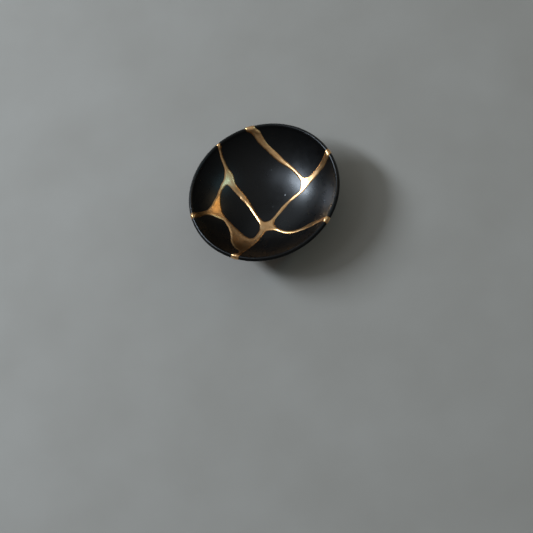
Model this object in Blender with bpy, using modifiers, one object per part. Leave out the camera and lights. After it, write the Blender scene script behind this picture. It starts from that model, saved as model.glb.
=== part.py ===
"""A small black-glazed ring dish that was broken and mended with raised gold lacquer.

Metres, +Z up. The origin is on the dish's axis, at the plane that its foot ring stands on.
The cracks are drawn in plan, seen from above, and run straight down through the wall. Each
shard is the whole dish cut by its own outline, and the gold is a slightly thicker dish from
which all the shards are cut away.
"""

import math

import bmesh
import bpy
from mathutils import Vector

# The dish
DISH_DIAMETER = 0.100
DISH_HEIGHT = 0.030
LIP_THICKNESS = 0.0034
FLOOR_THICKNESS = 0.0036
FOOT_DIAMETER = 0.042
FOOT_RING_WIDTH = 0.0036
FOOT_RECESS = 0.0024
FOOT_CHAMFER = 0.0005

# The mending
GOLD_RISE = 0.0004
GOLD_LIP_RISE = 0.0007
GOLD_FOOT_CLEARANCE = 0.0004
JOINT_GAP = 0.0003
RIM_CHIP_DIAMETER = 0.0056
RIM_CHIP_DEPTH = 0.0012

# Fineness of the facets
TURNING_STEPS = 64
INSIDE_STEPS = 8
OUTSIDE_STEPS = 6
LIP_STEPS = 6
CRACK_STEPS = 2
RIM_CHIP_STEPS = 24
RIM_ARC_STEP = math.radians(15)

# How far the crack outlines and the cutters run past the dish
CUT_MARGIN = 0.006

# Points closer together than this are one point
SAME_POINT = 0.00001

# The least cosine at a sharp corner of a crack outline that is moved sideways
CORNER_LIMIT = 0.5

GLAZE_COLOUR = (0.012, 0.013, 0.016, 1.0)
GLAZE_ROUGHNESS = 0.22
GOLD_COLOUR = (0.62, 0.40, 0.16, 1.0)
GOLD_ROUGHNESS = 0.32

# Crack outlines in plan, in hundredths of the dish's diameter. A shard on the rim lists its
# inner side only, anticlockwise about the shard, from one rim crossing to the other.
RIM_SHARDS = {
    "shard_upper_right": [
        (-8.4, 47.2), (-5.6, 45.4), (-4.2, 43.4), (-2.9, 41.0), (-1.1, 38.9), (3.0, 35.4),
        (6.3, 32.5), (9.4, 29.6), (15.6, 24.2), (19.1, 20.5), (21.4, 17.7), (23.6, 16.5),
        (26.5, 16.5), (29.5, 18.2), (32.8, 20.1), (35.5, 22.4), (37.8, 24.5), (40.6, 27.8),
    ],
    "shard_centre": [
        (-30.6, 35.2), (-30.8, 33.2), (-30.2, 29.8), (-28.9, 27.0), (-27.4, 23.8), (-25.7, 21.9),
        (-24.4, 19.2), (-23.7, 16.2), (-22.5, 13.8), (-18.7, 9.7), (-16.4, 7.0), (-13.7, 2.6),
        (-10.7, -2.3), (-8.2, -6.2), (-5.6, -9.5), (-3.6, -10.9), (-1.5, -10.6), (0.5, -9.3),
        (2.5, -6.9), (4.9, -3.4), (6.6, -0.4), (9.7, 2.1), (16.0, 6.7), (18.8, 8.7),
        (19.9, 11.2), (20.0, 13.8), (18.9, 16.4), (16.0, 20.1), (12.6, 23.5), (9.2, 25.7),
        (2.6, 30.7), (-0.2, 33.0), (-2.3, 35.1), (-4.9, 37.1), (-7.6, 39.5), (-9.4, 41.8),
        (-11.6, 43.9), (-14.2, 44.4), (-15.2, 46.0),
    ],
    "shard_left": [
        (-47.2, -13.8), (-44.6, -12.4), (-42.4, -10.6), (-40.6, -9.2), (-38.9, -7.1),
        (-37.4, -3.9), (-35.8, 1.0), (-34.3, 6.0), (-33.3, 9.6), (-32.3, 12.9), (-31.1, 15.5),
        (-30.5, 18.1), (-30.1, 20.7), (-30.2, 23.2), (-31.4, 26.7), (-32.1, 29.2),
        (-32.7, 32.2), (-33.4, 35.2),
    ],
    "shard_lower_left": [
        (-17.9, -44.9), (-15.9, -43.6), (-14.6, -42.4), (-14.8, -40.6), (-16.0, -38.4),
        (-17.9, -36.9), (-20.6, -33.1), (-22.1, -29.9), (-22.9, -26.8), (-24.0, -22.3),
        (-25.5, -18.8), (-27.3, -15.8), (-28.8, -13.4), (-30.5, -12.6), (-35.2, -11.4),
        (-37.5, -11.4), (-39.6, -12.7), (-41.9, -15.2), (-44.1, -17.2), (-46.8, -18.4),
    ],
    "shard_bottom": [
        (42.2, -25.7), (40.0, -24.2), (37.4, -22.6), (33.6, -22.4), (29.8, -23.0),
        (22.5, -23.6), (18.9, -23.9), (15.4, -23.6), (10.6, -22.3), (7.4, -20.4),
        (4.2, -18.9), (0.6, -18.8), (-2.0, -19.9), (-3.6, -23.6), (-5.3, -28.0),
        (-8.7, -34.9), (-11.6, -41.0), (-12.2, -44.5),
    ],
    "shard_right": [
        (43.4, 24.4), (42.2, 22.4), (40.1, 20.0), (37.9, 18.1), (34.5, 16.2), (31.3, 14.1),
        (28.8, 12.7), (26.2, 10.9), (23.2, 8.2), (20.2, 6.3), (16.1, 4.1), (13.2, 2.2),
        (10.6, -1.1), (7.9, -4.4), (5.2, -7.4), (3.2, -10.9), (3.7, -14.3), (6.8, -17.4),
        (10.1, -19.5), (14.9, -20.9), (18.6, -21.3), (22.1, -21.0), (25.6, -20.1),
        (29.1, -19.1), (32.9, -18.8), (36.9, -19.6), (39.4, -19.6), (42.4, -20.8),
    ],
}

# The one shard that meets no rim lists its whole outline.
INNER_SHARDS = {
    "shard_inner": [
        (-28.9, 12.8), (-31.2, 9.3), (-32.0, 6.2), (-32.1, 2.6), (-31.5, -2.0), (-30.5, -6.2),
        (-28.8, -9.1), (-26.4, -12.0), (-20.0, -18.5), (-13.4, -24.4), (-10.6, -25.6),
        (-8.7, -24.6), (-7.4, -21.9), (-6.5, -18.9), (-6.4, -15.6), (-7.0, -12.6),
        (-9.0, -9.3), (-11.5, -5.5), (-14.5, -1.3), (-17.4, 2.1), (-20.7, 5.4), (-23.9, 8.9),
        (-26.9, 11.9),
    ],
}

# Where the gold is chipped back at the rim, as the angle in plan
RIM_CHIP_ANGLE = math.radians(132.2)

RIM_RADIUS = DISH_DIAMETER / 2
LIP_RADIUS = LIP_THICKNESS / 2
LIP_CENTRE_Z = DISH_HEIGHT - LIP_RADIUS
PLAN_UNIT = DISH_DIAMETER / 100


def clear_scene():
    for thing in list(bpy.data.objects):
        bpy.data.objects.remove(thing, do_unlink=True)


def new_collection(name):
    collection = bpy.data.collections.new(name)
    bpy.context.scene.collection.children.link(collection)
    return collection


def principled(name, colour, metallic, roughness):
    material = bpy.data.materials.new(name)
    material.use_nodes = True
    shader = material.node_tree.nodes["Principled BSDF"]
    shader.inputs["Base Color"].default_value = colour
    shader.inputs["Metallic"].default_value = metallic
    shader.inputs["Roughness"].default_value = roughness
    return material


def as_cutter(cutter):
    cutter.hide_render = True
    cutter.display_type = "WIRE"


def ball_radius(span, depth):
    """Radius of a ball whose cap is this deep and half this span wide."""
    return (span**2 + depth**2) / (2 * depth)


def inside_profile(rise):
    """The inside from the middle to the lip, an arc of a ball, raised by rise."""
    floor_z = FOOT_RECESS + FLOOR_THICKNESS
    edge = RIM_RADIUS - LIP_THICKNESS
    ball = ball_radius(edge, LIP_CENTRE_Z - floor_z)
    reach = math.asin(edge / ball)
    radius = ball - rise
    angles = [reach * step / INSIDE_STEPS for step in range(INSIDE_STEPS)]
    return [(radius * math.sin(a), floor_z + ball - radius * math.cos(a)) for a in angles]


def lip_profile(rise):
    """The round lip, from its inner side over the top to its outer side."""
    radius = LIP_RADIUS + rise
    middle = RIM_RADIUS - LIP_RADIUS
    angles = [math.pi * (1 - step / LIP_STEPS) for step in range(LIP_STEPS + 1)]
    return [(middle + radius * math.cos(a), LIP_CENTRE_Z + radius * math.sin(a)) for a in angles]


def outside_profile(rise):
    """The outside from under the lip to the foot ring, an arc of a ball, swelled by rise."""
    ball = ball_radius(RIM_RADIUS, LIP_CENTRE_Z - FOOT_RECESS)
    radius = ball + rise
    top = math.asin(RIM_RADIUS / ball)
    bottom = math.asin((FOOT_DIAMETER / 2 + rise) / radius)
    angles = [top + (bottom - top) * step / OUTSIDE_STEPS for step in range(1, OUTSIDE_STEPS + 1)]
    return [(radius * math.sin(a), FOOT_RECESS + ball - radius * math.cos(a)) for a in angles]


def foot_profile(rise, stand_z):
    """The foot ring, from its outer side round to the recess under the floor."""
    outer = FOOT_DIAMETER / 2 + rise
    inner = FOOT_DIAMETER / 2 - FOOT_RING_WIDTH - rise
    recess_z = FOOT_RECESS - rise
    return [
        (outer, stand_z + FOOT_CHAMFER),
        (outer - FOOT_CHAMFER, stand_z),
        (inner + FOOT_CHAMFER, stand_z),
        (inner, stand_z + FOOT_CHAMFER),
        (inner, recess_z),
        (0.0, recess_z),
    ]


def turned_dish(name, rise, lip_rise, stand_z, collection):
    """The dish as a profile turned about Z. The profile runs down its outer side."""
    profile = inside_profile(rise) + lip_profile(lip_rise)
    profile += outside_profile(rise) + foot_profile(rise, stand_z)
    mesh = bpy.data.meshes.new(name)
    edges = [(i, i + 1) for i in range(len(profile) - 1)]
    mesh.from_pydata([(x, 0.0, z) for x, z in profile], edges, [])
    dish = bpy.data.objects.new(name, mesh)
    collection.objects.link(dish)
    turn = dish.modifiers.new("Turn", "SCREW")
    turn.steps = TURNING_STEPS
    turn.render_steps = TURNING_STEPS
    turn.use_merge_vertices = True
    turn.merge_threshold = SAME_POINT
    turn.use_smooth_shade = True
    return dish


def smooth_through(points, closed):
    """A Catmull-Rom curve through the points, with CRACK_STEPS parts to each span."""
    count = len(points)
    spans = count if closed else count - 1

    def at(index):
        return points[index % count] if closed else points[max(0, min(count - 1, index))]

    curve = []
    for span in range(spans):
        before, start, end, after = (at(span + shift) for shift in (-1, 0, 1, 2))
        for step in range(CRACK_STEPS):
            t = step / CRACK_STEPS
            bend = (2 * before - 5 * start + 4 * end - after) * t**2
            bend += (3 * start - before - 3 * end + after) * t**3
            curve.append(start + ((end - before) * t + bend) / 2)
    if not closed:
        curve.append(points[-1])
    return curve


def rim_outline(crossings):
    """Closes a rim shard's inner side by an arc that runs well outside the rim."""
    inner = smooth_through([Vector(point) * PLAN_UNIT for point in crossings], closed=False)
    radius = RIM_RADIUS + CUT_MARGIN
    start = math.atan2(inner[-1].y, inner[-1].x)
    sweep = (math.atan2(inner[0].y, inner[0].x) - start) % math.tau
    steps = max(2, math.ceil(sweep / RIM_ARC_STEP))
    angles = [start + sweep * step / steps for step in range(steps + 1)]
    # The flat chords of the arc have to stay outside the rim too.
    radius /= math.cos(sweep / steps / 2)
    return inner + [Vector((math.cos(a), math.sin(a))) * radius for a in angles]


def shard_outlines():
    outlines = {name: rim_outline(points) for name, points in RIM_SHARDS.items()}
    for name, points in INNER_SHARDS.items():
        outlines[name] = smooth_through([Vector(point) * PLAN_UNIT for point in points], closed=True)
    return outlines


def grown(outline, distance):
    """An anticlockwise outline moved outwards by distance, or inwards where it is negative."""
    moved = []
    for index, point in enumerate(outline):
        back = (point - outline[index - 1]).normalized()
        on = (outline[(index + 1) % len(outline)] - point).normalized()
        along = (back + on).normalized()
        stretch = max(CORNER_LIMIT, along.dot(on))
        moved.append(point + Vector((along.y, -along.x)) * distance / stretch)
    return moved


def prism(name, outline, collection):
    """The outline as a block that stands right through the dish, made from a flat curve."""
    curve = bpy.data.curves.new(name, "CURVE")
    curve.dimensions = "2D"
    curve.fill_mode = "BOTH"
    curve.extrude = DISH_HEIGHT / 2 + CUT_MARGIN
    spline = curve.splines.new("POLY")
    spline.points.add(len(outline) - 1)
    for point, place in zip(spline.points, outline):
        point.co = (place.x, place.y, 0.0, 1.0)
    spline.use_cyclic_u = True
    guide = bpy.data.objects.new(name, curve)
    guide.location.z = DISH_HEIGHT / 2
    collection.objects.link(guide)
    bpy.context.view_layer.update()
    graph = bpy.context.evaluated_depsgraph_get()
    mesh = bpy.data.meshes.new_from_object(guide.evaluated_get(graph))
    place = guide.matrix_world.copy()
    bpy.data.objects.remove(guide, do_unlink=True)
    weld(mesh)
    block = bpy.data.objects.new(name, mesh)
    block.matrix_world = place
    collection.objects.link(block)
    as_cutter(block)
    return block


def weld(mesh):
    cage = bmesh.new()
    cage.from_mesh(mesh)
    bmesh.ops.remove_doubles(cage, verts=cage.verts, dist=SAME_POINT)
    bmesh.ops.recalc_face_normals(cage, faces=cage.faces)
    cage.to_mesh(mesh)
    cage.free()


def rim_chip(collection):
    """The round bite out of the gold at the upper left rim."""
    distance = RIM_RADIUS - RIM_CHIP_DEPTH + RIM_CHIP_DIAMETER / 2
    place = Vector((math.cos(RIM_CHIP_ANGLE), math.sin(RIM_CHIP_ANGLE), 0.0)) * distance
    place.z = LIP_CENTRE_Z
    bpy.ops.mesh.primitive_cylinder_add(
        vertices=RIM_CHIP_STEPS, radius=RIM_CHIP_DIAMETER / 2, depth=DISH_HEIGHT, location=place
    )
    chip = bpy.context.object
    chip.name = "cut_rim_chip"
    for holder in list(chip.users_collection):
        holder.objects.unlink(chip)
    collection.objects.link(chip)
    as_cutter(chip)
    return chip


def add_boolean(target, operation, cutter):
    cut = target.modifiers.new(cutter.name, "BOOLEAN")
    cut.operation = operation
    cut.solver = "EXACT"
    cut.object = cutter


def make_shard(name, outline, glaze, parts, cutters):
    shard = turned_dish(name, 0.0, 0.0, 0.0, parts)
    shard.data.materials.append(glaze)
    block = prism("keep_" + name, grown(outline, -JOINT_GAP / 2), cutters)
    add_boolean(shard, "INTERSECT", block)
    return shard


def make_gold(outlines, gold, parts, cutters):
    """All that the shards leave, raised a little over the glaze and fatter round the lip."""
    seams = turned_dish("gold_seams", GOLD_RISE, GOLD_LIP_RISE, GOLD_FOOT_CLEARANCE, parts)
    seams.data.materials.append(gold)
    for name, outline in outlines.items():
        block = prism("clear_" + name, grown(outline, JOINT_GAP / 2), cutters)
        add_boolean(seams, "DIFFERENCE", block)
    add_boolean(seams, "DIFFERENCE", rim_chip(cutters))
    return seams


def main():
    clear_scene()
    parts = new_collection("kintsugi_ring_dish")
    cutters = new_collection("cutters")
    gold = principled("gold_lacquer", GOLD_COLOUR, metallic=1.0, roughness=GOLD_ROUGHNESS)
    outlines = shard_outlines()
    for name, outline in outlines.items():
        glaze = principled("black_glaze_" + name, GLAZE_COLOUR, metallic=0.0, roughness=GLAZE_ROUGHNESS)
        make_shard(name, outline, glaze, parts, cutters)
    make_gold(outlines, gold, parts, cutters)


main()
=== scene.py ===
"""The looks of the mended black ring dish: its glaze, its gold, and the light on them.

Each shard, and the gold between the shards, is made again as a fine closed mesh over the frame's
solid. The cracks are drawn in plan, seen from above. Places and lengths are in millimetres in the
frame's axes until a mesh is made.
"""

import math

import bpy
import numpy as np
from mathutils import Matrix, Vector, kdtree, noise
from mathutils.geometry import delaunay_2d_cdt


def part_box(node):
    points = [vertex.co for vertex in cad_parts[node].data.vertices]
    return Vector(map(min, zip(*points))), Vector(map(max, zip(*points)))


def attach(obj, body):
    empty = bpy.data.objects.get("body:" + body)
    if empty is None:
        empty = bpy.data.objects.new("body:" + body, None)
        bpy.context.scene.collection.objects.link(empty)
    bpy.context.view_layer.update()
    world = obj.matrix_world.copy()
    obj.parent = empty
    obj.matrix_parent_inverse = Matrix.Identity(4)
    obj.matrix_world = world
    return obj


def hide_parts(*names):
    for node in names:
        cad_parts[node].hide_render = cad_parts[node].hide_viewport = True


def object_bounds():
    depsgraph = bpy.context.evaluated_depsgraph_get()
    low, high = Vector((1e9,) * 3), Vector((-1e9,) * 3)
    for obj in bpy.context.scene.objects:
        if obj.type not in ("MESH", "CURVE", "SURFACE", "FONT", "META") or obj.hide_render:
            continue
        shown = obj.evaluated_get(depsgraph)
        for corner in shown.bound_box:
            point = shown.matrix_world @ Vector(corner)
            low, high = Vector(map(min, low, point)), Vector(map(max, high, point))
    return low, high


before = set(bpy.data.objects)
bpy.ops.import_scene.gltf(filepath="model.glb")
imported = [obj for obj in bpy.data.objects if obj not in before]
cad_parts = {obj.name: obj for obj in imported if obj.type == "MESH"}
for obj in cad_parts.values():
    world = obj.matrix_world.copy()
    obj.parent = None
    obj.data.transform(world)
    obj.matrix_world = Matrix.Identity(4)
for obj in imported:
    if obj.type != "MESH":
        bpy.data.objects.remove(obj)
CAD_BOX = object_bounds()

MM = 0.001

# The dish's section. A lip sharpness of 1 would be a pointed roof, and 2 a parabola.
RIM_RADIUS = (CAD_BOX[1].x - CAD_BOX[0].x) / 2 / MM
DISH_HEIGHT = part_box("shard_centre")[1].z / MM
LIP_THICKNESS = 3.4
LIP_SHARPNESS = 1.6
LIP_INNER_RADIUS = RIM_RADIUS - LIP_THICKNESS
FLOOR_THICKNESS = 3.6
FOOT_RADIUS = 21.0
FOOT_RING_WIDTH = 3.6
FOOT_MIDDLE_RADIUS = FOOT_RADIUS - FOOT_RING_WIDTH / 2
FOOT_RECESS = 2.4
FOOT_CHAMFER = 0.5
FOOT_DRAFT = 0.25
CORNER_ROUNDING = 0.22

# The slight unevenness of thrown and glazed clay: height, length and seed of each noise
GLAZE_SWELLS = ((0.03, 21.0, 40), (0.012, 7.0, 41))

# How far the underside is drawn in, so that no swell stands out of the solid
UNDER_SINK = 0.03

# Bare clay: faces lower than this whose normals point down further than this
CLAY_HEIGHT = 0.3
CLAY_SLOPE = -0.5

# How far the cracks waver, and the share and length of each noise that they waver by
CRACK_WAVER = 0.19
CRACK_WAVERS = ((1.0, 3.5), (0.5, 3.5 / 3))

# How far the gold lies over the shards' edges, and how much narrower its bulge makes them look
GOLD_OVERLAP = 0.25
GOLD_BULGE = 0.17

# How high the gold stands inside, outside and on the lip, how wide and how round its shoulders are,
# how far its middle sinks, and the height that it never passes
GOLD_RISE = 0.45
GOLD_RISE_UNDER = 0.30
GOLD_SHARE_ON_LIP = 0.65
GOLD_SHOULDER = 1.2
GOLD_SHOULDER_ON_LIP = 2.1
GOLD_ROUNDNESS = 2.0
GOLD_SINK = 0.05
GOLD_SINK_REACH = 2.6
GOLD_HIGHEST = 1.0
GOLD_HIGHEST_ON_LIP = 0.52
GOLD_HIGHEST_AT_RIM = 0.34

# How far in from the lip these begin to change, and how far in from the rim the last one falls
LIP_BLEND = 1.5
HIGHEST_BLEND = 3.0
RIM_FALL = 1.7

# The gold that fills the corner below the lip, its ripples, and how far in from its edge each is full
GOLD_FILLET = 0.45
GOLD_FILLET_REACH = 1.3
GOLD_FILLET_BORDER = 0.8
GOLD_RIPPLE = 0.03
GOLD_RIPPLE_LENGTH = 3.4
GOLD_RIPPLE_SEED = 50
GOLD_RIPPLE_BORDER = 0.5

# How far the gold lies behind the foot's standing face, and how soon it gets there
GOLD_FOOT_DEPTH = 0.35
GOLD_FOOT_BLEND = 0.15

# The round bite out of the gold on the rim, and how far inside the gold its edge counts as lying
CHIP_SEED = 30
CHIP_RADIUS = 2.8
CHIP_DEPTH = 1.2
CHIP_ANGLE = math.radians(132.2)
CHIP_DISTANCE = RIM_RADIUS - CHIP_DEPTH + CHIP_RADIUS
CHIP_CENTRE = CHIP_DISTANCE * np.array([math.cos(CHIP_ANGLE), math.sin(CHIP_ANGLE)])
CHIP_BORDER = 0.1

# Fineness of the section, the curves and the meshes
BALL_POINTS = 200
LIP_POINTS = 60
PROFILE_STEP = 0.04
CURVE_STEP = 0.05
GLAZE_STEP = 1.0
GLAZE_LIP_STEP = 0.5
GLAZE_FINE_STEP = 0.17
GLAZE_ROW_STEP = 0.5
GOLD_STEP = 0.33
SHARD_ROW_STEP = 0.3

# How far beyond the foot ring and the lip the rings stay close together
FOOT_MARGIN = 1.2
LIP_MARGIN = 0.8

# How far from the gold's edges its mesh has rows of points joined up, and lines of loose points
GOLD_ROWS = (-GOLD_OVERLAP, -0.02, 0.2, 0.45)
GOLD_LINES = (0.7, 0.97)

# How far loose points keep from the rows and lines
GLAZE_CLEARANCE = 0.45
GOLD_CLEARANCE = 0.2
CHIP_CLEARANCE = 0.15
LINE_TOLERANCE = 0.04

# Points closer together than this become one, and points this near the rim's radius are on it
SAME_POINT = 0.001
ON_RIM = 0.0001

# How far the cracks' curves run past the rim, and the arcs that close their outlines there
PAST_RIM = 2.0
ARC_SHARE = 1.02
ARC_STEP = 0.05

# Crack outlines in plan. A shard on the rim lists its inner side only, anticlockwise about the
# shard, from one rim crossing to the other.
RIM_SHARDS = {
    "shard_upper_right": [
        (-8.4, 47.2), (-5.6, 45.4), (-4.2, 43.4), (-2.9, 41.0), (-1.1, 38.9), (3.0, 35.4),
        (6.3, 32.5), (9.4, 29.6), (15.6, 24.2), (19.1, 20.5), (21.4, 17.7), (23.6, 16.5),
        (26.5, 16.5), (29.5, 18.2), (32.8, 20.1), (35.5, 22.4), (37.8, 24.5), (40.6, 27.8),
    ],
    "shard_centre": [
        (-30.6, 35.2), (-30.8, 33.2), (-30.2, 29.8), (-28.9, 27.0), (-27.4, 23.8), (-25.7, 21.9),
        (-24.4, 19.2), (-23.7, 16.2), (-22.5, 13.8), (-18.7, 9.7), (-16.4, 7.0), (-13.7, 2.6),
        (-10.7, -2.3), (-8.2, -6.2), (-5.6, -9.5), (-3.6, -10.9), (-1.5, -10.6), (0.5, -9.3),
        (2.5, -6.9), (4.9, -3.4), (6.8, -0.6), (9.7, 2.1), (15.8, 6.95), (18.8, 8.7),
        (19.9, 11.2), (20.0, 13.8), (18.9, 16.4), (16.0, 20.1), (12.6, 23.5), (9.2, 25.7),
        (2.6, 30.7), (-0.2, 33.0), (-2.3, 35.1), (-4.9, 37.1), (-7.6, 39.5), (-9.4, 41.8),
        (-11.6, 43.9), (-14.2, 44.4), (-15.2, 46.0),
    ],
    "shard_left": [
        (-47.2, -13.8), (-44.6, -12.4), (-42.4, -10.6), (-40.6, -9.2), (-38.9, -7.1),
        (-37.4, -3.9), (-35.8, 1.0), (-34.3, 6.0), (-33.3, 9.6), (-32.3, 12.9), (-31.1, 15.5),
        (-30.5, 18.1), (-30.1, 20.7), (-30.2, 23.2), (-31.4, 26.7), (-32.1, 29.2),
        (-32.7, 32.2), (-33.4, 35.2),
    ],
    "shard_lower_left": [
        (-17.9, -44.9), (-15.9, -43.6), (-14.6, -42.4), (-14.8, -40.6), (-16.0, -38.4),
        (-17.9, -36.9), (-20.6, -33.1), (-22.1, -29.9), (-22.9, -26.8), (-24.0, -22.3),
        (-25.5, -18.8), (-27.3, -15.8), (-28.8, -13.4), (-30.5, -12.6), (-35.2, -11.4),
        (-37.5, -11.4), (-39.6, -12.7), (-41.9, -15.2), (-44.1, -17.2), (-46.8, -18.4),
    ],
    "shard_bottom": [
        (42.2, -25.7), (40.0, -24.2), (37.4, -22.6), (33.6, -22.4), (29.8, -23.0),
        (22.5, -23.6), (18.9, -23.9), (15.4, -23.6), (10.6, -22.3), (7.4, -20.4),
        (4.2, -18.9), (0.6, -18.8), (-2.0, -19.9), (-3.6, -23.6), (-5.3, -28.0),
        (-8.7, -34.9), (-11.6, -41.0), (-12.2, -44.5),
    ],
    "shard_right": [
        (43.4, 24.4), (42.2, 22.4), (40.1, 20.0), (37.9, 18.1), (34.5, 16.2), (31.3, 14.1),
        (28.8, 12.7), (26.2, 10.9), (23.2, 8.2), (20.2, 6.2), (16.4, 3.85), (13.2, 2.0),
        (10.4, -0.9), (7.7, -4.2), (5.2, -7.4), (3.2, -10.9), (3.7, -14.3), (6.8, -17.4),
        (10.1, -19.5), (14.9, -20.9), (18.6, -21.3), (22.1, -21.0), (25.6, -20.1),
        (29.1, -19.1), (32.9, -18.8), (36.9, -19.6), (39.4, -19.6), (42.4, -20.8),
    ],
}

# The one shard that meets no rim lists its whole outline.
INNER_SHARDS = {
    "shard_inner": [
        (-28.9, 12.8), (-31.2, 9.3), (-32.0, 6.2), (-32.1, 2.6), (-31.5, -2.0), (-30.5, -6.2),
        (-28.8, -9.1), (-26.4, -12.0), (-20.0, -18.5), (-13.4, -24.4), (-10.6, -25.6),
        (-8.7, -24.6), (-7.4, -21.9), (-6.5, -18.9), (-6.4, -15.6), (-7.0, -12.6),
        (-9.0, -9.3), (-11.5, -5.5), (-14.5, -1.3), (-17.4, 2.1), (-20.7, 5.4), (-23.9, 8.9),
        (-26.9, 11.9),
    ],
}

# Where the gold inside stands higher or lower than elsewhere: place in plan, reach and height
GOLD_SWELLS = [
    (-18.5, 6.0, 7.0, 0.26), (-12.0, -4.0, 8.0, 0.27), (-5.0, -12.0, 5.0, 0.10),
    (13.0, -22.0, 8.0, -0.08), (31.0, -20.5, 9.0, -0.24), (22.0, 14.0, 7.0, -0.12),
    (-42.0, -12.0, 8.0, -0.12), (-17.0, -33.0, 9.0, -0.12), (10.0, 1.0, 6.0, -0.12),
    (24.0, -22.0, 6.0, -0.12), (-31.8, 10.5, 5.0, -0.19), (-29.5, 17.0, 6.0, -0.22),
]

# Where its shoulders are wider or narrower than elsewhere: place in plan, reach and width
GOLD_SHOULDERS = [
    (-17.0, 4.0, 9.0, 0.5), (-10.0, -6.0, 7.0, 0.4), (-28.5, 17.0, 7.0, -0.2), (-31.8, 10.5, 5.0, -0.1),
    (-33.5, -3.0, 8.0, -0.4), (14.0, 24.0, 8.0, -0.4), (22.0, 14.0, 6.0, -0.4),
]

# Lumps of gold where the seams go over the lip: angle in plan (degrees), distance from the axis,
# reach and height
RIM_LUMPS = [
    (105.6, 48.0, 1.8, 0.165), (102.4, 47.2, 1.3, 0.15),
    (107.4, 49.0, 1.2, 0.15), (104.2, 49.2, 1.0, 0.09),
    (32.2, 48.4, 1.4, 0.195), (33.6, 47.4, 1.0, 0.105), (31.2, 49.4, 1.0, 0.15),
    (-27.4, 48.6, 1.1, 0.21), (-29.4, 47.6, 0.9, 0.195), (-28.0, 46.4, 0.8, 0.135),
    (252.6, 48.0, 1.0, 0.21), (250.4, 48.6, 0.9, 0.18),
    (253.6, 49.4, 0.8, 0.15), (251.6, 47.0, 0.7, 0.12),
    (198.4, 48.2, 1.0, 0.21), (200.2, 48.8, 0.8, 0.18), (199.2, 46.9, 0.8, 0.135),
    (133.6, 46.8, 0.9, 0.12), (134.6, 48.0, 0.8, 0.135),
]


def ball_radius(span, depth):
    """Radius of a ball whose cap is this deep and half this span wide."""
    return (span**2 + depth**2) / (2 * depth)


def evenly(path, step):
    """The path with points at even steps along it."""
    path = np.array(path)
    length = np.concatenate([[0], np.cumsum(np.hypot(*np.diff(path, axis=0).T))])
    places = np.linspace(0, length[-1], max(2, round(length[-1] / step) + 1))
    return np.column_stack([np.interp(places, length, path[:, axis]) for axis in (0, 1)])


def rounded(path, reach, step):
    """An evenly spaced path with its corners rounded over about this reach."""
    count = round(3 * reach / step)
    kernel = np.exp(-0.5 * (np.arange(-count, count + 1) * step / reach) ** 2)
    kernel /= kernel.sum()
    padded = np.pad(path, ((count, count), (0, 0)), mode="reflect", reflect_type="odd")
    return np.column_stack([np.convolve(padded[:, axis], kernel, mode="valid") for axis in (0, 1)])


def ball_path(radii, floor_z, ball):
    """The section of a ball of this radius that stands on floor_z, at these distances from the axis."""
    return [(r, floor_z + ball - math.sqrt(ball**2 - r**2)) for r in radii]


def lip_path(lip_z):
    """The arch over the lip, from the inside to the outside."""
    half = LIP_THICKNESS / 2
    across = [math.cos(angle) for angle in np.linspace(0, math.pi, LIP_POINTS)[1:]]
    return [(RIM_RADIUS - half - half * x, lip_z + half * (1 - abs(x) ** LIP_SHARPNESS)) for x in across]


def foot_path():
    """The foot ring and the underside within it."""
    inner = FOOT_RADIUS - FOOT_RING_WIDTH
    return [
        (FOOT_RADIUS, FOOT_CHAMFER),
        (FOOT_RADIUS - FOOT_CHAMFER, 0.0),
        (inner + FOOT_CHAMFER, 0.0),
        (inner, FOOT_CHAMFER),
        (inner - FOOT_DRAFT, FOOT_RECESS),
        (0.0, FOOT_RECESS),
    ]


def section():
    """The section from the middle of the inside, over the lip, to the middle of the underside."""
    lip_z = DISH_HEIGHT - LIP_THICKNESS / 2
    floor_z = FOOT_RECESS + FLOOR_THICKNESS
    inside = np.linspace(0, LIP_INNER_RADIUS, BALL_POINTS)
    outside = np.linspace(RIM_RADIUS, FOOT_RADIUS + FOOT_DRAFT, BALL_POINTS)[1:]
    path = ball_path(inside, floor_z, ball_radius(LIP_INNER_RADIUS, lip_z - floor_z))
    path += lip_path(lip_z)
    path += ball_path(outside, FOOT_RECESS, ball_radius(RIM_RADIUS, lip_z - FOOT_RECESS))
    path += foot_path()
    return rounded(evenly(path, PROFILE_STEP), CORNER_ROUNDING, PROFILE_STEP)


class Side:
    """The top or the underside of the dish, by distance from the axis."""

    def __init__(self, path, normals):
        order = np.argsort(path[:, 0], kind="stable")
        self.r = path[order, 0]
        self.z = path[order, 1]
        self.normals = normals[order]

    def lifted(self, plan, rise=0.0):
        """Points of the plan laid on this side and raised from it along its normal."""
        r = np.hypot(plan[:, 0], plan[:, 1])
        out = np.interp(r, self.r, self.normals[:, 0])
        up = np.interp(r, self.r, self.normals[:, 1])
        share = 1 + out * rise / np.maximum(r, 1e-6)
        z = np.interp(r, self.r, self.z) + up * rise
        return np.column_stack([plan[:, 0] * share, plan[:, 1] * share, z])


def both_sides():
    """The top and the underside, which meet where the section is widest."""
    path = section()
    along = np.gradient(path, axis=0)
    along /= np.hypot(along[:, 0], along[:, 1])[:, None]
    normals = np.column_stack([-along[:, 1], along[:, 0]])
    rim = int(np.argmax(path[:, 0]))
    return Side(path[: rim + 1], normals[: rim + 1]), Side(path[rim:], normals[rim:])


TOP, UNDER = both_sides()
RIM = TOP.r[-1]


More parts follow.
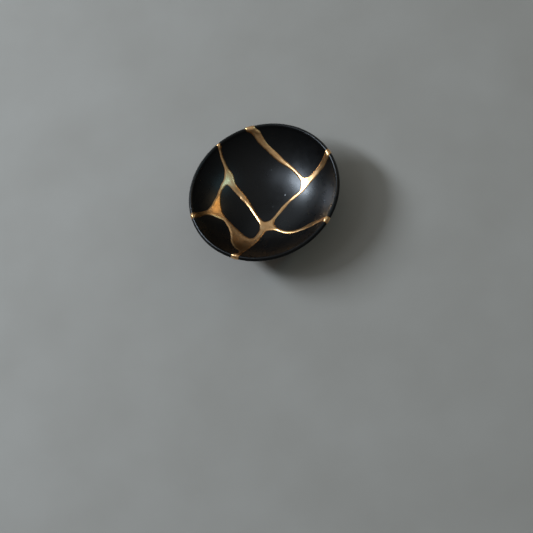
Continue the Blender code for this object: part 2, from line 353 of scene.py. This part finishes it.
def ring_radii(flat_step, steep_step):
    """Radii of rings that lie this far apart on the steeper side, and closer where it bends."""
    r = np.unique(np.concatenate([TOP.r, UNDER.r]))
    climb = [np.abs(np.diff(np.interp(r, side.r, side.z))) for side in (TOP, UNDER)]
    span = np.hypot(np.diff(r), np.maximum(*climb))
    middle = (r[1:] + r[:-1]) / 2
    foot = np.abs(middle - FOOT_MIDDLE_RADIUS) < FOOT_RING_WIDTH / 2 + FOOT_MARGIN
    lip = middle > LIP_INNER_RADIUS - LIP_MARGIN
    places = np.concatenate([[0], np.cumsum(span / np.where(foot | lip, steep_step, flat_step))])
    count = math.ceil(places[-1])
    return np.interp(np.linspace(0, places[-1], count + 1), places, r)[1:]


def smooth_through(points, closed):
    """A Catmull-Rom curve through the points."""
    count = len(points)
    spans = count if closed else count - 1

    def at(index):
        return np.array(points[index % count] if closed else points[max(0, min(count - 1, index))])

    curve = []
    for span in range(spans):
        before, start, end, after = (at(span + shift) for shift in (-1, 0, 1, 2))
        steps = math.ceil(np.hypot(*(end - start)) / CURVE_STEP)
        for t in np.arange(steps) / steps:
            bend = (2 * before - 5 * start + 4 * end - after) * t**2
            bend += (3 * start - before - 3 * end + after) * t**3
            curve.append(start + ((end - before) * t + bend) / 2)
    if not closed:
        curve.append(at(count - 1))
    return np.array(curve)


def noise_at(points, length, seed):
    """Smooth noise from -1 to 1 with features of about this length."""
    shift = Vector((seed * 17.3, seed * 5.1, seed * 11.7))
    return np.array([noise.noise(Vector(point) / length + shift) for point in points])


def sideways(curve, closed):
    """Unit vectors to the right of the curve, which is outwards on an anticlockwise one."""
    if closed:
        along = np.roll(curve, -1, axis=0) - np.roll(curve, 1, axis=0)
    else:
        along = np.gradient(curve, axis=0)
    along /= np.hypot(along[:, 0], along[:, 1])[:, None]
    return np.column_stack([along[:, 1], -along[:, 0]])


def wavered(curve, closed, seed):
    flat = np.column_stack([curve, np.zeros(len(curve))])
    waver = sum(share * noise_at(flat, length, seed) for share, length in CRACK_WAVERS)
    return curve + sideways(curve, closed) * (waver * CRACK_WAVER)[:, None]


def past_rim(points):
    """The points with one more at each end, past the rim and straight out from the axis."""
    ends = (points[0], points[-1])
    first, last = (np.array(end) * ((RIM + PAST_RIM) / np.hypot(*end)) for end in ends)
    return [first, *points, last]


class Crack:
    """One shard's broken edge, as a fine curve in plan with the shard on its left.

    The points are where the gold seems to begin, seen from the front. The gold bulges over its edge,
    so the edge itself lies a little further in.
    """

    def __init__(self, points, closed, seed):
        self.closed = closed
        if not closed:
            points = past_rim(points)
        curve = wavered(smooth_through(points, closed), closed, seed)
        self.curve = curve + sideways(curve, closed) * GOLD_BULGE

    def moved(self, distance):
        """The curve moved away from the shard by distance."""
        return self.curve + sideways(self.curve, self.closed) * distance


def all_cracks():
    cracks = {}
    for seed, (name, points) in enumerate(RIM_SHARDS.items()):
        cracks[name] = Crack(points, False, seed)
    for seed, (name, points) in enumerate(INNER_SHARDS.items()):
        cracks[name] = Crack(points, True, len(RIM_SHARDS) + seed)
    return cracks


def row_along(curve, rings, spacing, closed):
    """Mesh points along a curve: one at each ring that it crosses, others this far apart.

    A curve that isn't closed is cut off where it crosses the rim.
    """
    if closed:
        curve = np.concatenate([curve, curve[:1]])
    r = np.hypot(curve[:, 0], curve[:, 1])
    row = [curve[0]] if closed else []
    gone = 0.0
    for index in range(len(curve) - 1):
        low, high = sorted((r[index], r[index + 1]))
        first, last = np.searchsorted(rings, (low, high))
        crossed = list(rings[first:last])
        if r[index] > r[index + 1]:
            crossed.reverse()
        inside = min(r[index], r[index + 1]) < RIM
        for ring in crossed:
            share = (ring - r[index]) / (r[index + 1] - r[index])
            place = curve[index] + (curve[index + 1] - curve[index]) * share
            row.append(place * (ring / np.hypot(*place)))
            gone = 0.0
        if not crossed and inside:
            gone += np.hypot(*(curve[index + 1] - curve[index]))
            if gone > spacing and r[index + 1] < RIM:
                row.append(curve[index + 1])
                gone = 0.0
    return np.array(row)


def outline_of(row, closed):
    """A row as a closed outline. An open row is closed by an arc that runs outside the rim."""
    if closed:
        return row
    start = math.atan2(row[-1][1], row[-1][0])
    sweep = (math.atan2(row[0][1], row[0][0]) - start) % math.tau
    angles = start + sweep * np.linspace(0, 1, math.ceil(sweep / ARC_STEP) + 1)
    return np.concatenate([row, ARC_SHARE * RIM * np.column_stack([np.cos(angles), np.sin(angles)])])


def inside_of(outline, plan):
    """Which points of the plan lie inside the outline."""
    within = np.zeros(len(plan), bool)
    x, y = plan[:, 0], plan[:, 1]
    for start, end in zip(outline, np.roll(outline, -1, axis=0)):
        if start[1] != end[1]:
            crosses = (start[1] > y) != (end[1] > y)
            edge_x = (end[0] - start[0]) * (y - start[1]) / (end[1] - start[1]) + start[0]
            within ^= crosses & (x < edge_x)
    return within


class Distances:
    """Distances in plan to the nearest of some fine curves."""

    def __init__(self, curves):
        points = np.concatenate(curves)
        self.tree = kdtree.KDTree(len(points))
        for index, point in enumerate(points):
            self.tree.insert((point[0], point[1], 0.0), index)
        self.tree.balance()

    def to(self, plan):
        return np.array([self.tree.find((point[0], point[1], 0.0))[2] for point in plan])


def ring_points(rings, spacing, lip_spacing):
    """Points on rings about the axis, each ring's set half a step round from the last."""
    plan = [np.zeros((1, 2))]
    for index, ring in enumerate(rings):
        apart = lip_spacing if ring > LIP_INNER_RADIUS else spacing
        count = max(6, round(math.tau * ring / apart))
        angles = (np.arange(count) + index % 2 / 2) * math.tau / count
        plan.append(ring * np.column_stack([np.cos(angles), np.sin(angles)]))
    return np.concatenate(plan)


def triangulated(rows, loose, belongs):
    """Triangles over the rows and the loose points, kept where belongs says so of their middles.

    rows are pairs of points and whether they close. Their segments become edges of the mesh.
    """
    points = []
    edges = []
    for row, closed in rows:
        start = len(points)
        points += [Vector(point) for point in row]
        edges += [(start + i, start + i + 1) for i in range(len(row) - 1)]
        if closed:
            edges.append((len(points) - 1, start))
    points += [Vector(point) for point in loose]
    places, _, faces = delaunay_2d_cdt(points, edges, [], 0, SAME_POINT, False)[:3]
    plan = np.array([place[:] for place in places])
    faces = np.array(faces)
    faces = faces[belongs(plan[faces].mean(axis=1))]
    used, faces = np.unique(faces, return_inverse=True)
    faces = faces.reshape(-1, 3)
    plan = plan[used]
    a, b, c = plan[faces[:, 0]], plan[faces[:, 1]], plan[faces[:, 2]]
    turn = (b[:, 0] - a[:, 0]) * (c[:, 1] - a[:, 1]) - (b[:, 1] - a[:, 1]) * (c[:, 0] - a[:, 0])
    faces[turn < 0] = faces[turn < 0][:, ::-1]
    return plan, faces


def walls_between(faces, below):
    """The walls from the open edges of the top's faces to those of the underside."""
    edges = np.concatenate([faces[:, [0, 1]], faces[:, [1, 2]], faces[:, [2, 0]]]).tolist()
    known = {tuple(edge) for edge in edges}
    walls = []
    for a, b in edges:
        at_rim = below[a] == a and below[b] == b
        if (b, a) not in known and not at_rim:
            walls.append(list(dict.fromkeys([b, a, int(below[a]), int(below[b])])))
    return walls


def closed_mesh(name, plan, faces, top, under):
    """A closed mesh of a top, an underside and the walls between. The sides meet at the rim."""
    count = len(plan)
    at_rim = np.hypot(plan[:, 0], plan[:, 1]) > RIM - ON_RIM
    below = np.where(at_rim, np.arange(count), 0)
    below[~at_rim] = count + np.arange((~at_rim).sum())
    points = np.concatenate([top, under[~at_rim]])
    skins = faces.tolist() + below[faces][:, ::-1].tolist()
    mesh = bpy.data.meshes.new(name)
    mesh.from_pydata((points * MM).tolist(), [], skins + walls_between(faces, below))
    mesh.polygons.foreach_set("use_smooth", [True] * len(mesh.polygons))
    broken = {key for face in mesh.polygons[len(skins):] for key in face.edge_keys}
    mesh.edges.foreach_set("use_edge_sharp", [edge.key in broken for edge in mesh.edges])
    mesh.update()
    piece = bpy.data.objects.new(name, mesh)
    bpy.context.scene.collection.objects.link(piece)
    return piece, below


GLAZE_RINGS = ring_radii(GLAZE_STEP, GLAZE_FINE_STEP)
GOLD_RINGS = ring_radii(GOLD_STEP, GOLD_STEP)
CRACKS = all_cracks()


def glaze_swell(points):
    return sum(height * noise_at(points, length, seed) for height, length, seed in GLAZE_SWELLS)


def make_shard(name, glaze, clay):
    crack = CRACKS[name]
    row = row_along(crack.curve, GLAZE_RINGS, GLAZE_ROW_STEP, crack.closed)
    outline = outline_of(row, crack.closed)
    loose = ring_points(GLAZE_RINGS, GLAZE_STEP, GLAZE_LIP_STEP)
    loose = loose[inside_of(outline, loose)]
    loose = loose[Distances([crack.curve]).to(loose) > GLAZE_CLEARANCE]
    plan, faces = triangulated([(row, crack.closed)], loose, lambda middles: inside_of(outline, middles))
    top = TOP.lifted(plan, glaze_swell(TOP.lifted(plan)))
    under = UNDER.lifted(plan, np.minimum(0.0, glaze_swell(UNDER.lifted(plan)) - UNDER_SINK))
    piece, _ = closed_mesh(name + "_glazed", plan, faces, top, under)
    piece.data.materials.append(glaze)
    piece.data.materials.append(clay)
    for face in piece.data.polygons:
        face.material_index = int(face.center.z < CLAY_HEIGHT * MM and face.normal.z < CLAY_SLOPE)
    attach(piece, "root")
    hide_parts(name)


def chip_curve():
    """The edge of the round bite out of the gold at the rim, with the gold on its right."""
    angles = np.linspace(0, math.tau, round(math.tau * CHIP_RADIUS / CURVE_STEP))[::-1] + CHIP_ANGLE
    curve = CHIP_CENTRE + CHIP_RADIUS * np.column_stack([np.cos(angles), np.sin(angles)])
    return wavered(curve, False, CHIP_SEED)


CHIP_CURVE = chip_curve()


def from_chip(plan):
    """How far points of the plan lie outside the round bite."""
    return np.hypot(*(plan - CHIP_CENTRE).T) - CHIP_RADIUS


def gold_lines(edges):
    """Loose points in lines along the gold's edges, left out where another edge is nearer."""
    lines = []
    for crack in CRACKS.values():
        for distance in GOLD_LINES:
            line = row_along(crack.moved(distance), GOLD_RINGS, GOLD_STEP, crack.closed)
            lines.append(line[edges.to(line) > distance - LINE_TOLERANCE])
    return np.concatenate(lines)


def gold_rows():
    """Rows of points along every edge of the gold, and the outlines of what it leaves of the shards."""
    rows = []
    outlines = []
    for crack in CRACKS.values():
        for distance in GOLD_ROWS:
            row = row_along(crack.moved(distance), GOLD_RINGS, GOLD_STEP, crack.closed)
            rows.append((row, crack.closed))
            if distance == -GOLD_OVERLAP:
                outlines.append(outline_of(row, crack.closed))
    rows.append((row_along(CHIP_CURVE, GOLD_RINGS, GOLD_STEP, False), False))
    return rows, outlines


def lumps_at(points):
    """How far the lumps on the lip lift the gold at these points."""
    lift = np.zeros(len(points))
    for angle, r, reach, height in RIM_LUMPS:
        spot = np.array([[r * math.cos(math.radians(angle)), r * math.sin(math.radians(angle))]])
        away = np.linalg.norm(points - TOP.lifted(spot), axis=1)
        lift += height * np.exp(-((away / reach) ** 2))
    return lift


def spots_at(points, spots):
    """The sum of round spots at these points, each spot given by place in plan, reach and value."""
    total = np.zeros(len(points))
    for x, y, reach, value in spots:
        away = np.hypot(points[:, 0] - x, points[:, 1] - y)
        total += value * np.exp(-((away / reach) ** 2))
    return total


def gold_rise(points, away, rise):
    """How far the gold stands over the glaze, by its distance from the nearest edge.

    Past the edge it goes on down under the glaze at the slope that it has there.
    """
    r = np.hypot(points[:, 0], points[:, 1])
    to_lip = (LIP_INNER_RADIUS - LIP_BLEND, LIP_INNER_RADIUS)
    width = np.interp(r, to_lip, (GOLD_SHOULDER, GOLD_SHOULDER_ON_LIP))
    width += spots_at(points, GOLD_SHOULDERS)
    rise = rise * np.interp(r, to_lip, (1.0, GOLD_SHARE_ON_LIP))
    shoulder = np.clip(away / width, 0, 1)
    dome = rise * (1 - (1 - shoulder) ** GOLD_ROUNDNESS)
    dome += np.minimum(away, 0) * rise * GOLD_ROUNDNESS / width
    sink = np.clip((away - width) / GOLD_SINK_REACH, 0, 1)
    dome -= GOLD_SINK * sink**2 * (3 - 2 * sink)
    settled = np.clip(away / GOLD_RIPPLE_BORDER, 0, 1)
    ripple = noise_at(points, GOLD_RIPPLE_LENGTH, GOLD_RIPPLE_SEED) * GOLD_RIPPLE
    dome += settled * (ripple + lumps_at(points))
    places = (LIP_INNER_RADIUS - HIGHEST_BLEND, LIP_INNER_RADIUS, RIM_RADIUS - RIM_FALL, RIM_RADIUS)
    heights = (GOLD_HIGHEST, GOLD_HIGHEST_ON_LIP, GOLD_HIGHEST_ON_LIP, GOLD_HIGHEST_AT_RIM)
    return np.minimum(dome, np.interp(r, places, heights))


def inside_rise(points, away):
    """The rise on the inside, where the gold also fills the corner below the lip."""
    rise = gold_rise(points, away, GOLD_RISE + spots_at(points, GOLD_SWELLS))
    r = np.hypot(points[:, 0], points[:, 1])
    corner = np.exp(-(((r - LIP_INNER_RADIUS) / GOLD_FILLET_REACH) ** 2))
    return rise + GOLD_FILLET * corner * np.clip(away / GOLD_FILLET_BORDER, 0, 1)


def in_any(outlines, plan):
    """Which points of the plan lie inside one of the outlines."""
    return np.any([inside_of(outline, plan) for outline in outlines], axis=0)


def loose_gold(edges, shards):
    """Loose points of the gold, seen from above: on rings, and in lines along its edges."""
    loose = ring_points(GOLD_RINGS, GOLD_STEP, GOLD_STEP)
    loose = loose[edges.to(loose) > GOLD_LINES[-1] + GOLD_CLEARANCE]
    loose = np.concatenate([loose, gold_lines(edges)])
    beside_chip = Distances([CHIP_CURVE]).to(loose) <= CHIP_CLEARANCE
    return loose[~in_any(shards, loose) & ~beside_chip & (from_chip(loose) >= 0)]


def loose_rim(outlines):
    """Points on the rim where it is gold."""
    rim = ring_points(GOLD_RINGS[-1:], GOLD_STEP, GOLD_STEP)[1:]
    return rim[~in_any(outlines, rim)]


def gold_plan():
    """The gold seen from above: its points, its faces and how far inside its edges each point lies."""
    rows, outlines = gold_rows()
    shards = [
        outline_of(row_along(crack.curve, GLAZE_RINGS, SHARD_ROW_STEP, crack.closed), crack.closed)
        for crack in CRACKS.values()
    ]
    edges = Distances([crack.curve for crack in CRACKS.values()])

    def belongs(middles):
        return ~in_any(outlines, middles) & ~inside_of(CHIP_CURVE, middles)

    loose = np.concatenate([loose_gold(edges, shards), loose_rim(outlines)])
    plan, faces = triangulated(rows, loose, belongs)
    away = edges.to(plan) * np.where(in_any(shards, plan), -1, 1)
    return plan, faces, np.minimum(away, from_chip(plan) + CHIP_BORDER)


def on_foot(plan):
    """1 over and under the foot's standing face, falling to 0 beside it."""
    r = np.hypot(plan[:, 0], plan[:, 1])
    inside = FOOT_RING_WIDTH / 2 - np.abs(r - FOOT_MIDDLE_RADIUS)
    return np.clip(inside / GOLD_FOOT_BLEND + 1, 0, 1)


def make_gold(lacquer):
    plan, faces, away = gold_plan()
    foot = on_foot(plan)
    top = TOP.lifted(plan, inside_rise(TOP.lifted(plan), away))
    rise_under = gold_rise(UNDER.lifted(plan), away, GOLD_RISE_UNDER)
    under = UNDER.lifted(plan, rise_under * (1 - foot) - GOLD_FOOT_DEPTH * foot)
    piece, below = closed_mesh("seams_of_gold", plan, faces, top, under)
    piece.data.materials.append(lacquer)
    from_edge = np.zeros(len(piece.data.vertices), np.float32)
    from_edge[: len(plan)] = away
    from_edge[below] = away
    piece.data.attributes.new("from_edge", "FLOAT", "POINT").data.foreach_set("value", from_edge)
    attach(piece, "root")
    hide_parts("gold_seams")


def node_material(name):
    material = bpy.data.materials.new(name)
    material.use_nodes = True
    tree = material.node_tree
    return material, tree, tree.nodes["Principled BSDF"]


def add(tree, kind, **values):
    """A new node, with its sockets and settings set by name."""
    node = tree.nodes.new("ShaderNode" + kind)
    for key, value in values.items():
        socket = node.inputs.get(key.replace("_", " "))
        if socket is None:
            setattr(node, key, value)
        else:
            socket.default_value = value
    return node


def object_place(tree):
    return add(tree, "TexCoord").outputs["Object"]


def noise_of(tree, length, detail=3.0, roughness=0.5):
    """Noise with features of this length in millimetres."""
    node = add(tree, "TexNoise", Scale=1 / (length * MM), Detail=detail, Roughness=roughness)
    tree.links.new(object_place(tree), node.inputs["Vector"])
    return node.outputs["Fac"]


def ramp(tree, source, *stops):
    """The source through a colour ramp of (position, colour) stops."""
    node = add(tree, "ValToRGB")
    points = node.color_ramp.elements
    for point in list(points)[1:]:
        points.remove(point)
    for index, (position, colour) in enumerate(stops):
        point = points[0] if index == 0 else points.new(position)
        point.position = position
        point.color = colour if len(colour) == 4 else (*colour, 1.0)
    tree.links.new(source, node.inputs["Fac"])
    return node.outputs["Color"]


def grey(value):
    return (value, value, value, 1.0)


def mixed(tree, factor, first, second, blend="MIX"):
    """Two colours mixed by a factor that varies."""
    node = add(tree, "Mix", data_type="RGBA", blend_type=blend)
    for socket, value in ((node.inputs[0], factor), (node.inputs[6], first), (node.inputs[7], second)):
        if isinstance(value, (tuple, float)):
            socket.default_value = value
        else:
            tree.links.new(value, socket)
    return node.outputs[2]


def near(tree, spot, reach, most=1.0):
    """The most at a spot of the dish, falling to 0 at this reach from it, both in millimetres."""
    away = add(tree, "VectorMath", operation="DISTANCE")
    tree.links.new(object_place(tree), away.inputs[0])
    away.inputs[1].default_value = [value * MM for value in spot]
    fade = add(tree, "MapRange", interpolation_type="SMOOTHSTEP")
    tree.links.new(away.outputs["Value"], fade.inputs["Value"])
    fade.inputs["From Min"].default_value = 0.0
    fade.inputs["From Max"].default_value = reach * MM
    fade.inputs["To Min"].default_value = most
    fade.inputs["To Max"].default_value = 0.0
    return fade.outputs["Result"]


def bumped(tree, shader, height, strength, depth):
    """Gives the shader a bump of this depth in millimetres."""
    bump = add(tree, "Bump", Strength=strength, Distance=depth * MM)
    tree.links.new(height, bump.inputs["Height"])
    tree.links.new(bump.outputs["Normal"], shader.inputs["Normal"])


# Flecks on the glaze of the middle shard, one bright and two faint: place, reach and colour
FLECKS = [
    ((9.1, 7.5, 7.2), 0.60, (0.75, 0.76, 0.78, 1.0)),
    ((1.0, 0.0, 6.0), 0.45, (0.12, 0.13, 0.14, 1.0)),
    ((-0.3, 24.5, 11.3), 0.45, (0.12, 0.13, 0.14, 1.0)),
]
GLAZE_DARK = (0.0005, 0.0006, 0.0008)
GLAZE_LIGHT = (0.0011, 0.0013, 0.0016)
DOT_COLOUR = (0.016, 0.017, 0.019, 1.0)
DOTS_APART = 3.4
GLAZE_SPECULAR = 0.38


def black_glaze():
    material, tree, shader = node_material("black_glaze_fine")
    tone = ramp(tree, noise_of(tree, length=14.0), (0.35, GLAZE_DARK), (0.7, GLAZE_LIGHT))
    cells = add(tree, "TexVoronoi", feature="F1", Scale=1 / (DOTS_APART * MM))
    tree.links.new(object_place(tree), cells.inputs["Vector"])
    dots = ramp(tree, cells.outputs["Distance"], (0.02, grey(1.0)), (0.05, grey(0.0)))
    tone = mixed(tree, dots, tone, DOT_COLOUR)
    for spot, reach, colour in FLECKS:
        tone = mixed(tree, near(tree, spot, reach), tone, colour)
    tree.links.new(tone, shader.inputs["Base Color"])
    gloss = ramp(tree, noise_of(tree, length=5.0, detail=4.0), (0.3, grey(0.26)), (0.75, grey(0.32)))
    tree.links.new(gloss, shader.inputs["Roughness"])
    shader.inputs["Specular IOR Level"].default_value = GLAZE_SPECULAR
    bumped(tree, shader, noise_of(tree, length=2.4, detail=1.0), strength=0.08, depth=0.02)
    return material


CLAY_DARK = (0.085, 0.062, 0.048)
CLAY_LIGHT = (0.150, 0.115, 0.090)


def bare_clay():
    material, tree, shader = node_material("bare_clay")
    tone = ramp(tree, noise_of(tree, length=1.2, detail=5.0), (0.3, CLAY_DARK), (0.7, CLAY_LIGHT))
    tree.links.new(tone, shader.inputs["Base Color"])
    rough = ramp(tree, noise_of(tree, length=0.6, detail=2.0), (0.3, grey(0.7)), (0.7, grey(0.9)))
    tree.links.new(rough, shader.inputs["Roughness"])
    bumped(tree, shader, noise_of(tree, length=0.35, detail=4.0), strength=0.6, depth=0.08)
    return material


GOLD_DARK = (0.88, 0.49, 0.21)
GOLD_MIDDLE = (0.97, 0.57, 0.26)
GOLD_LIGHT = (1.0, 0.66, 0.35)

# Painted reflections on the gold, warmer in one place and paler in another than elsewhere: place, reach
# and colour
GOLD_PAINTED_REFLECTIONS = [
    ((-33.5, -2.0, 14.0), 10.0, (0.98, 0.50, 0.15, 1.0)),
    ((-29.5, 15.0, 14.0), 9.0, (0.94, 0.71, 0.43, 1.0)),
]

# Spots of painted shade on the gold: place, reach and how much. Painted shade also browns it along its
# edges.
GOLD_PAINTED_SHADE = [
    ((-42.5, -12.5, 26.0), 12.0, 0.95), ((-15.0, -37.0, 22.0), 15.0, 0.85),
    ((36.0, 20.5, 25.0), 9.0, 0.6), ((-22.0, 10.5, 13.0), 7.0, 0.45), ((15.0, -23.0, 15.0), 9.0, 0.3),
    ((9.0, 0.0, 9.0), 6.5, 0.4), ((30.0, -20.8, 20.0), 9.0, 0.3),
]
PAINTED_SHADE_COLOUR = (0.18, 0.10, 0.04, 1.0)
EDGE_SHADE_COLOUR = (0.50, 0.24, 0.08, 1.0)


def gold_lacquer():
    material, tree, shader = node_material("gold_lacquer_fine")
    tone = ramp(
        tree, noise_of(tree, length=3.4, detail=5.0, roughness=0.6),
        (0.30, GOLD_DARK), (0.52, GOLD_MIDDLE), (0.74, GOLD_LIGHT),
    )
    # A painted warm reflection and a painted pale reflection on the gold
    for spot, reach, colour in GOLD_PAINTED_REFLECTIONS:
        tone = mixed(tree, near(tree, spot, reach), tone, colour)
    # Painted shade browns the gold along its edges, where it meets the glaze
    edge = add(tree, "Attribute", attribute_name="from_edge")
    edge_shade = ramp(tree, edge.outputs["Fac"], (0.0, grey(0.9)), (0.12, grey(0.5)), (0.3, grey(0.0)))
    tone = mixed(tree, edge_shade, tone, EDGE_SHADE_COLOUR)
    # Painted shade darkens the gold in spots
    for spot, reach, share in GOLD_PAINTED_SHADE:
        tone = mixed(tree, near(tree, spot, reach, share), tone, PAINTED_SHADE_COLOUR)
    grain = ramp(tree, noise_of(tree, length=0.12, detail=2.0), (0.35, grey(0.93)), (0.65, grey(1.0)))
    tone = mixed(tree, 1.0, tone, grain, "MULTIPLY")
    tree.links.new(tone, shader.inputs["Base Color"])
    gloss = ramp(tree, noise_of(tree, length=2.6), (0.3, grey(0.27)), (0.7, grey(0.34)))
    tree.links.new(gloss, shader.inputs["Roughness"])
    shader.inputs["Metallic"].default_value = 1.0
    bumped(tree, shader, noise_of(tree, length=0.45), strength=0.08, depth=0.02)
    return material


FLOOR_DARK = (0.31, 0.285, 0.25)
FLOOR_LIGHT = (0.34, 0.315, 0.28)
FLOOR_HALF_WIDTH = 6.0


def pale_floor():
    material, tree, shader = node_material("pale_floor")
    tone = ramp(tree, noise_of(tree, length=60.0), (0.3, FLOOR_DARK), (0.7, FLOOR_LIGHT))
    tree.links.new(tone, shader.inputs["Base Color"])
    shader.inputs["Roughness"].default_value = 0.8
    return material


def make_floor():
    half = FLOOR_HALF_WIDTH
    corners = [(-half, -half, 0), (half, -half, 0), (half, half, 0), (-half, half, 0)]
    mesh = bpy.data.meshes.new("floor")
    mesh.from_pydata(corners, [], [(0, 1, 2, 3)])
    mesh.materials.append(pale_floor())
    floor = bpy.data.objects.new("floor", mesh)
    bpy.context.scene.collection.objects.link(floor)


def direction(azimuth, elevation):
    """The unit vector towards an azimuth in plan and an elevation, both in degrees."""
    level = math.cos(math.radians(elevation))
    turn = math.radians(azimuth)
    return Vector((level * math.cos(turn), level * math.sin(turn), math.sin(math.radians(elevation))))


def soft_light(name, start, end, width, distance, radiance, colour):
    """A soft box that shines on the dish, its long sides running from one direction to another."""
    towards = (start + end).normalized()
    along = (start - end) - towards * (start - end).dot(towards)
    length = along.length * distance
    along.normalize()
    data = bpy.data.lights.new(name, "AREA")
    data.shape = "RECTANGLE"
    data.size = length
    data.size_y = width
    data.energy = radiance * math.pi * length * width
    data.color = colour
    light = bpy.data.objects.new(name, data)
    axes = Matrix((along, towards.cross(along), towards)).transposed()
    light.matrix_world = Matrix.Translation(towards * distance) @ axes.to_4x4()
    bpy.context.scene.collection.objects.link(light)


KEY_COLOUR = (0.74, 0.86, 1.0)
HALO_COLOUR = (0.80, 0.91, 1.0)
FILL_COLOUR = (0.42, 0.85, 1.0)
WARM_COLOUR = (1.0, 0.78, 0.48)
WORLD_COLOUR = (0.98, 1.0, 0.99, 1.0)
WORLD_AT_HORIZON = 0.035
WORLD_OVERHEAD = 0.33
WORLD_STEEPNESS = 1.8

# The soft boxes: name, azimuth and elevation of either end, width, distance, radiance and colour
SOFT_BOXES = [
    ("key_light", (189, 51), (157, 29), 0.18, 1.3, 36.0, KEY_COLOUR),
    ("key_tail_light", (218, 72), (190, 55), 0.30, 1.3, 2.5, KEY_COLOUR),
    ("halo_light", (156, 50), (129, 3), 1.25, 1.6, 0.42, HALO_COLOUR),
    ("side_light", (108, 54), (100, 14), 0.9, 1.6, 0.22, HALO_COLOUR),
    ("fill_light", (-14, 53), (16, 40), 0.22, 1.5, 2.2, FILL_COLOUR),
    ("warm_light", (21, 37), (48, 26), 0.15, 1.5, 2.4, WARM_COLOUR),
]


def make_world():
    """A studio that is dark low down and brighter overhead."""
    world = bpy.data.worlds.new("studio")
    world.use_nodes = True
    tree = world.node_tree
    background = tree.nodes["Background"]
    background.inputs["Color"].default_value = WORLD_COLOUR
    split = add(tree, "SeparateXYZ")
    tree.links.new(add(tree, "TexCoord").outputs["Generated"], split.inputs["Vector"])
    height = add(tree, "Math", operation="POWER")
    tree.links.new(split.outputs["Z"], height.inputs[0])
    height.inputs[1].default_value = WORLD_STEEPNESS
    strength = add(tree, "MapRange")
    tree.links.new(height.outputs["Value"], strength.inputs["Value"])
    strength.inputs["To Min"].default_value = WORLD_AT_HORIZON
    strength.inputs["To Max"].default_value = WORLD_OVERHEAD
    tree.links.new(strength.outputs["Result"], background.inputs["Strength"])
    bpy.context.scene.world = world


# The photograph's camera: its direction from the dish, and where the middle of the rim falls in a
# picture of 533 by 533 pixels, to the right of and above the picture's middle
CAMERA_AZIMUTH = -63.2
CAMERA_ELEVATION = 58.97
CAMERA_ROLL = -26.6
CAMERA_DISTANCE = 1.0
PICTURE_PIXELS = 533
FOCAL_PIXELS = 1554.0
RIM_PIXELS_RIGHT = -2.95
RIM_PIXELS_UP = 75.45
SENSOR_WIDTH = 36.0
CLIP_DISTANCES = (0.01, 100.0)


def camera_axes():
    """The camera's right, up and backward directions."""
    towards = direction(CAMERA_AZIMUTH, CAMERA_ELEVATION)
    turn = math.radians(CAMERA_AZIMUTH)
    roll = math.radians(CAMERA_ROLL)
    flat_right = Vector((-math.sin(turn), math.cos(turn), 0.0))
    flat_up = towards.cross(flat_right)
    right = math.cos(roll) * flat_right + math.sin(roll) * flat_up
    up = math.cos(roll) * flat_up - math.sin(roll) * flat_right
    back = (towards * FOCAL_PIXELS + right * RIM_PIXELS_RIGHT + up * RIM_PIXELS_UP).normalized()
    right = (right - back * right.dot(back)).normalized()
    return right, back.cross(right), back


def make_camera():
    data = bpy.data.cameras.new("camera")
    data.sensor_width = SENSOR_WIDTH
    data.lens = FOCAL_PIXELS / PICTURE_PIXELS * SENSOR_WIDTH
    data.clip_start, data.clip_end = CLIP_DISTANCES
    rim_middle = Vector((0.0, 0.0, DISH_HEIGHT - LIP_THICKNESS / 2)) * MM
    place = rim_middle + direction(CAMERA_AZIMUTH, CAMERA_ELEVATION) * CAMERA_DISTANCE
    camera = bpy.data.objects.new("camera", data)
    camera.matrix_world = Matrix.Translation(place) @ Matrix(camera_axes()).transposed().to_4x4()
    bpy.context.scene.collection.objects.link(camera)
    bpy.context.scene.camera = camera


bpy.context.scene.view_settings.view_transform = "Standard"
make_camera()
make_floor()
make_world()
for name, start, end, *rest in SOFT_BOXES:
    soft_light(name, direction(*start), direction(*end), *rest)
glaze = black_glaze()
clay = bare_clay()
for shard in CRACKS:
    make_shard(shard, glaze, clay)
make_gold(gold_lacquer())
